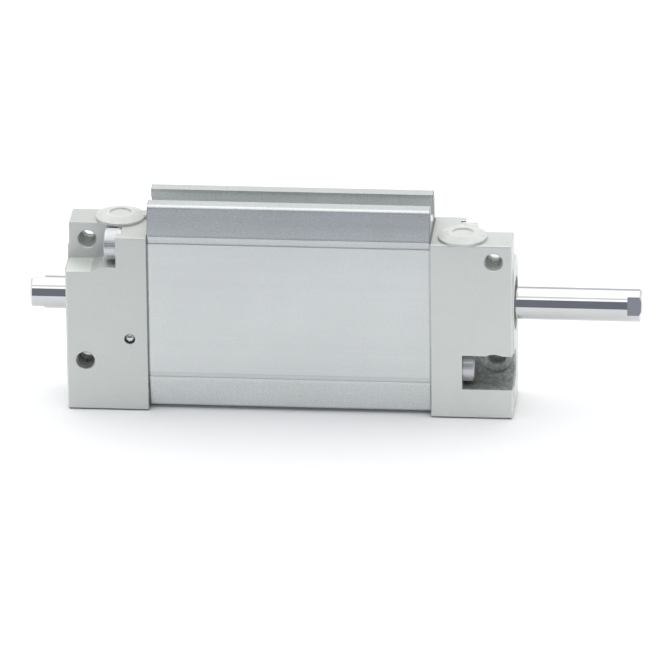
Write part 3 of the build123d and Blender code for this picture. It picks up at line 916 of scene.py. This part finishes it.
class FLATCYL_OT_threads(bpy.types.Operator):
    """Wind the threads in the mounting holes and in the rod's tips"""
    bl_idname = "flatcyl.threads"
    bl_label = "Threads"

    def mounting_threads(self, tree, detail):
        """Each hole runs through the half that its pocket leaves. At the left top and the right bottom
        that is the back half, and at the other two the front half."""
        metal = frame["nodes"]["left_cap"].data.materials[0]
        pattern = mount("mounting_holes")["dims"]
        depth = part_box("left_cap")[HIGH].y
        meshes = []
        for x in (-1, 1):
            for z in (-1, 1):
                centre = Vector((
                    x * pattern["spacing_x_mm"] * MM / 2,
                    -x * z * depth / 2,
                    z * pattern["spacing_y_mm"] * MM / 2,
                ))
                meshes.append(grown(
                    tree, Hole_Radius=pattern["hole_r_mm"] * MM, Pitch=detail.mount_pitch,
                    Length=depth - 2 * detail.thread_lead_in, Ridge=detail.thread_ridge,
                    Centre=centre, Turned=Vector((math.pi / 2, 0, 0)), Material=metal))
        one_piece("mounting_hole_threads", meshes, metal, "housing")

    def rod_threads(self, tree, detail):
        """A thread in each tip, along the rod."""
        metal = frame["nodes"]["right_rod"].data.materials[0]
        meshes = []
        for name in ("rod_thread_left", "rod_thread_right"):
            hole = mount(name)
            meshes.append(grown(
                tree, Hole_Radius=hole["dims"]["r_mm"] * MM, Pitch=detail.rod_pitch,
                Length=hole["dims"]["length_mm"] * MM - detail.thread_lead_in,
                Ridge=detail.thread_ridge * ROD_RIDGE_SHARE, Centre=Vector(hole["pos_m"]),
                Turned=Vector((0, math.pi / 2, 0)), Material=metal))
        one_piece("rod_tip_threads", meshes, metal, "rod")

    def execute(self, context):
        tree = thread_grower()
        self.mounting_threads(tree, context.scene.flatcyl_detail)
        self.rod_threads(tree, context.scene.flatcyl_detail)
        return {"FINISHED"}


class FLATCYL_OT_port_plugs(bpy.types.Operator):
    """Give the port plugs their slightly see-through natural plastic"""
    bl_idname = "flatcyl.port_plugs"
    bl_label = "Port plugs"

    def execute(self, context):
        colour = context.scene.flatcyl_finish.plug_colour
        finish = moulded("natural_plastic", colour, roughness=0.38, grain=8 * MICRON)
        finish.shader.inputs["Subsurface Weight"].default_value = 0.5
        finish.shader.inputs["Subsurface Radius"].default_value = (2 * MM, 2 * MM, 1.5 * MM)
        finish.shader.inputs["Subsurface Scale"].default_value = 1.0
        dress(PLUGS, finish.material)
        return {"FINISHED"}


def softbox(name, front, back, stage):
    """A level softbox over the table, between two places along Y."""
    light = bpy.data.lights.new(name, "AREA")
    light.shape = "RECTANGLE"
    light.size = stage.box_width
    light.size_y = back - front
    light.energy = stage.overhead * math.pi * light.size * light.size_y
    lamp = bpy.data.objects.new(name, light)
    bpy.context.scene.collection.objects.link(lamp)
    lamp.location = (0, (front + back) / 2, stage.box_height)


class FLATCYL_OT_stage(bpy.types.Operator):
    """Set up the white floor, the soft light and the camera"""
    bl_idname = "flatcyl.stage"
    bl_label = "Stage"

    def paper(self):
        """White paper that is clear from below, so that the underside can be looked at."""
        paper = Finish("white_table", roughness=0.7)
        hands = paper.use("handling", Blotch_Scale=6.0)
        paper.shade(PAPER, paper.between(hands["Blotches"], 0.995, 1.0))
        paper.shader.inputs["Emission Color"].default_value = (1, 1, 1, 1)
        paper.shader.inputs["Emission Strength"].default_value = PAPER_GLOW
        tree = paper.tree
        below = node(tree, "ShaderNodeMixShader")
        tree.links.new(node(tree, "ShaderNodeNewGeometry").outputs["Backfacing"], below.inputs["Fac"])
        tree.links.new(paper.shader.outputs["BSDF"], below.inputs[1])
        tree.links.new(node(tree, "ShaderNodeBsdfTransparent").outputs["BSDF"], below.inputs[2])
        tree.links.new(below.outputs["Shader"], tree.nodes["Material Output"].inputs["Surface"])
        return paper.material

    def floor(self, stage):
        """A table top that ends in front, with the cylinder's feet just over it."""
        ground = cad_box[0][2] - stage.contact_gap
        front = -stage.table_front
        mesh = bpy.data.meshes.new("floor")
        corners = [
            (-FLOOR_HALF, front, ground), (FLOOR_HALF, front, ground),
            (FLOOR_HALF, FLOOR_HALF, ground), (-FLOOR_HALF, FLOOR_HALF, ground),
        ]
        mesh.from_pydata(corners, [], [(0, 1, 2, 3)])
        mesh.materials.append(self.paper())
        floor = bpy.data.objects.new("floor", mesh)
        bpy.context.scene.collection.objects.link(floor)

    def surround(self, stage):
        """White all round, but for the unlit room that reflections show behind the camera."""
        world = bpy.data.worlds.new("white_tent")
        bpy.context.scene.world = world
        world.use_nodes = True
        tree = world.node_tree
        sky = tree.nodes["Background"]
        direction = axes(tree, node(tree, "ShaderNodeTexCoord").outputs["Generated"])

        def rising(axis, start, end):
            """A value that rises from 0 to 1 between two places on an axis."""
            soft = node(tree, "ShaderNodeMapRange", interpolation_type="SMOOTHSTEP")
            soft.inputs["From Min"].default_value = start
            soft.inputs["From Max"].default_value = end
            tree.links.new(direction[axis], soft.inputs["Value"])
            return soft.outputs["Result"]

        room_top = math.sin(stage.front_height)
        above = rising("Z", room_top - ROOM_EDGE, room_top + ROOM_EDGE)
        seen = node(tree, "ShaderNodeLightPath").outputs["Is Camera Ray"]
        lit = maths(tree, "MAXIMUM", maths(tree, "MAXIMUM", above, rising("Y", *ROOM_SIDES)), seen)
        low_down = maths(tree, "SUBTRACT", 1.0, rising("Z", *DIM_BELOW))
        dimmed = maths(tree, "MULTIPLY", rising("Y", *DIM_BEHIND), low_down)
        wall = maths(tree, "SUBTRACT", WALL_LEVEL, maths(tree, "MULTIPLY", dimmed, WALL_DIMMING))
        wall = maths(tree, "MAXIMUM", wall, seen)
        # A colour mix keeps its A, B and Result at sockets 6, 7 and 2
        mixed = node(tree, "ShaderNodeMix", data_type="RGBA")
        mixed.inputs[6].default_value = UNLIT_ROOM
        mixed.inputs[7].default_value = WHITE_WALL
        tree.links.new(lit, mixed.inputs["Factor"])
        tree.links.new(mixed.outputs[2], sky.inputs["Color"])
        tree.links.new(maths(tree, "MULTIPLY", wall, stage.surround), sky.inputs["Strength"])

    def softboxes(self, stage):
        """Two softboxes, with a dark gap between them that shows as a line on the rod."""

        def at(angle):
            """Where the softboxes stand this high in front, seen from the rod."""
            return -stage.box_height / math.tan(angle)

        softbox("front_softbox", at(stage.front_height), at(stage.gap_front), stage)
        softbox("back_softbox", at(stage.gap_back), stage.box_reach, stage)

    def camera(self, stage):
        """A long lens at the photograph's viewing angle."""
        azimuth, elevation, roll = stage.azimuth, stage.elevation, stage.roll
        back = Vector((
            math.sin(azimuth) * math.cos(elevation),
            -math.cos(azimuth) * math.cos(elevation),
            math.sin(elevation),
        ))
        level = Vector((math.cos(azimuth), math.sin(azimuth), 0))
        rise = back.cross(level)
        right = level * math.cos(roll) + rise * math.sin(roll)
        up = rise * math.cos(roll) - level * math.sin(roll)
        data = bpy.data.cameras.new("camera")
        data.sensor_width = SENSOR_WIDTH
        data.lens = stage.focal_pixels / PICTURE_WIDTH * SENSOR_WIDTH
        data.clip_start = 0.05
        data.clip_end = 50.0
        camera = bpy.data.objects.new("camera", data)
        bpy.context.scene.collection.objects.link(camera)
        turn = Matrix((right, up, back)).transposed().to_4x4()
        turn.translation = Vector(stage.aim) + back * stage.distance
        camera.matrix_world = turn
        bpy.context.scene.camera = camera

    def execute(self, context):
        stage = context.scene.flatcyl_stage
        self.floor(stage)
        self.surround(stage)
        self.camera(stage)
        self.softboxes(stage)
        context.scene.view_settings.view_transform = "Standard"
        return {"FINISHED"}


class FLATCYL_PT_panel(bpy.types.Panel):
    """Lists the cylinder's pieces and settings in the sidebar"""
    bl_idname = "FLATCYL_PT_panel"
    bl_label = "Flat Cylinder"
    bl_space_type = "VIEW_3D"
    bl_region_type = "UI"
    bl_category = "Flat Cylinder"

    def draw(self, context):
        scene = context.scene
        for settings in (scene.flatcyl_finish, scene.flatcyl_detail, scene.flatcyl_stage):
            box = self.layout.box()
            for name in settings.bl_rna.properties.keys():
                if name not in ("rna_type", "name"):
                    box.prop(settings, name)
        for operator in OPERATORS:
            self.layout.operator(operator.bl_idname)


OPERATORS = (
    FLATCYL_OT_barrel, FLATCYL_OT_caps, FLATCYL_OT_rods, FLATCYL_OT_piston, FLATCYL_OT_seals,
    FLATCYL_OT_screws, FLATCYL_OT_threads, FLATCYL_OT_port_plugs, FLATCYL_OT_stage,
)
CLASSES = (FinishSettings, DetailSettings, StageSettings, *OPERATORS, FLATCYL_PT_panel)


def register():
    for one in CLASSES:
        bpy.utils.register_class(one)
    bpy.types.Scene.flatcyl_finish = PointerProperty(type=FinishSettings)
    bpy.types.Scene.flatcyl_detail = PointerProperty(type=DetailSettings)
    bpy.types.Scene.flatcyl_stage = PointerProperty(type=StageSettings)


def unregister():
    del bpy.types.Scene.flatcyl_stage
    del bpy.types.Scene.flatcyl_detail
    del bpy.types.Scene.flatcyl_finish
    for one in reversed(CLASSES):
        bpy.utils.unregister_class(one)


def main():
    register()
    bpy.ops.flatcyl.barrel()
    bpy.ops.flatcyl.caps()
    bpy.ops.flatcyl.rods()
    bpy.ops.flatcyl.piston()
    bpy.ops.flatcyl.seals()
    bpy.ops.flatcyl.screws()
    bpy.ops.flatcyl.threads()
    bpy.ops.flatcyl.port_plugs()
    bpy.ops.flatcyl.stage()


if __name__ == "__main__":
    main()
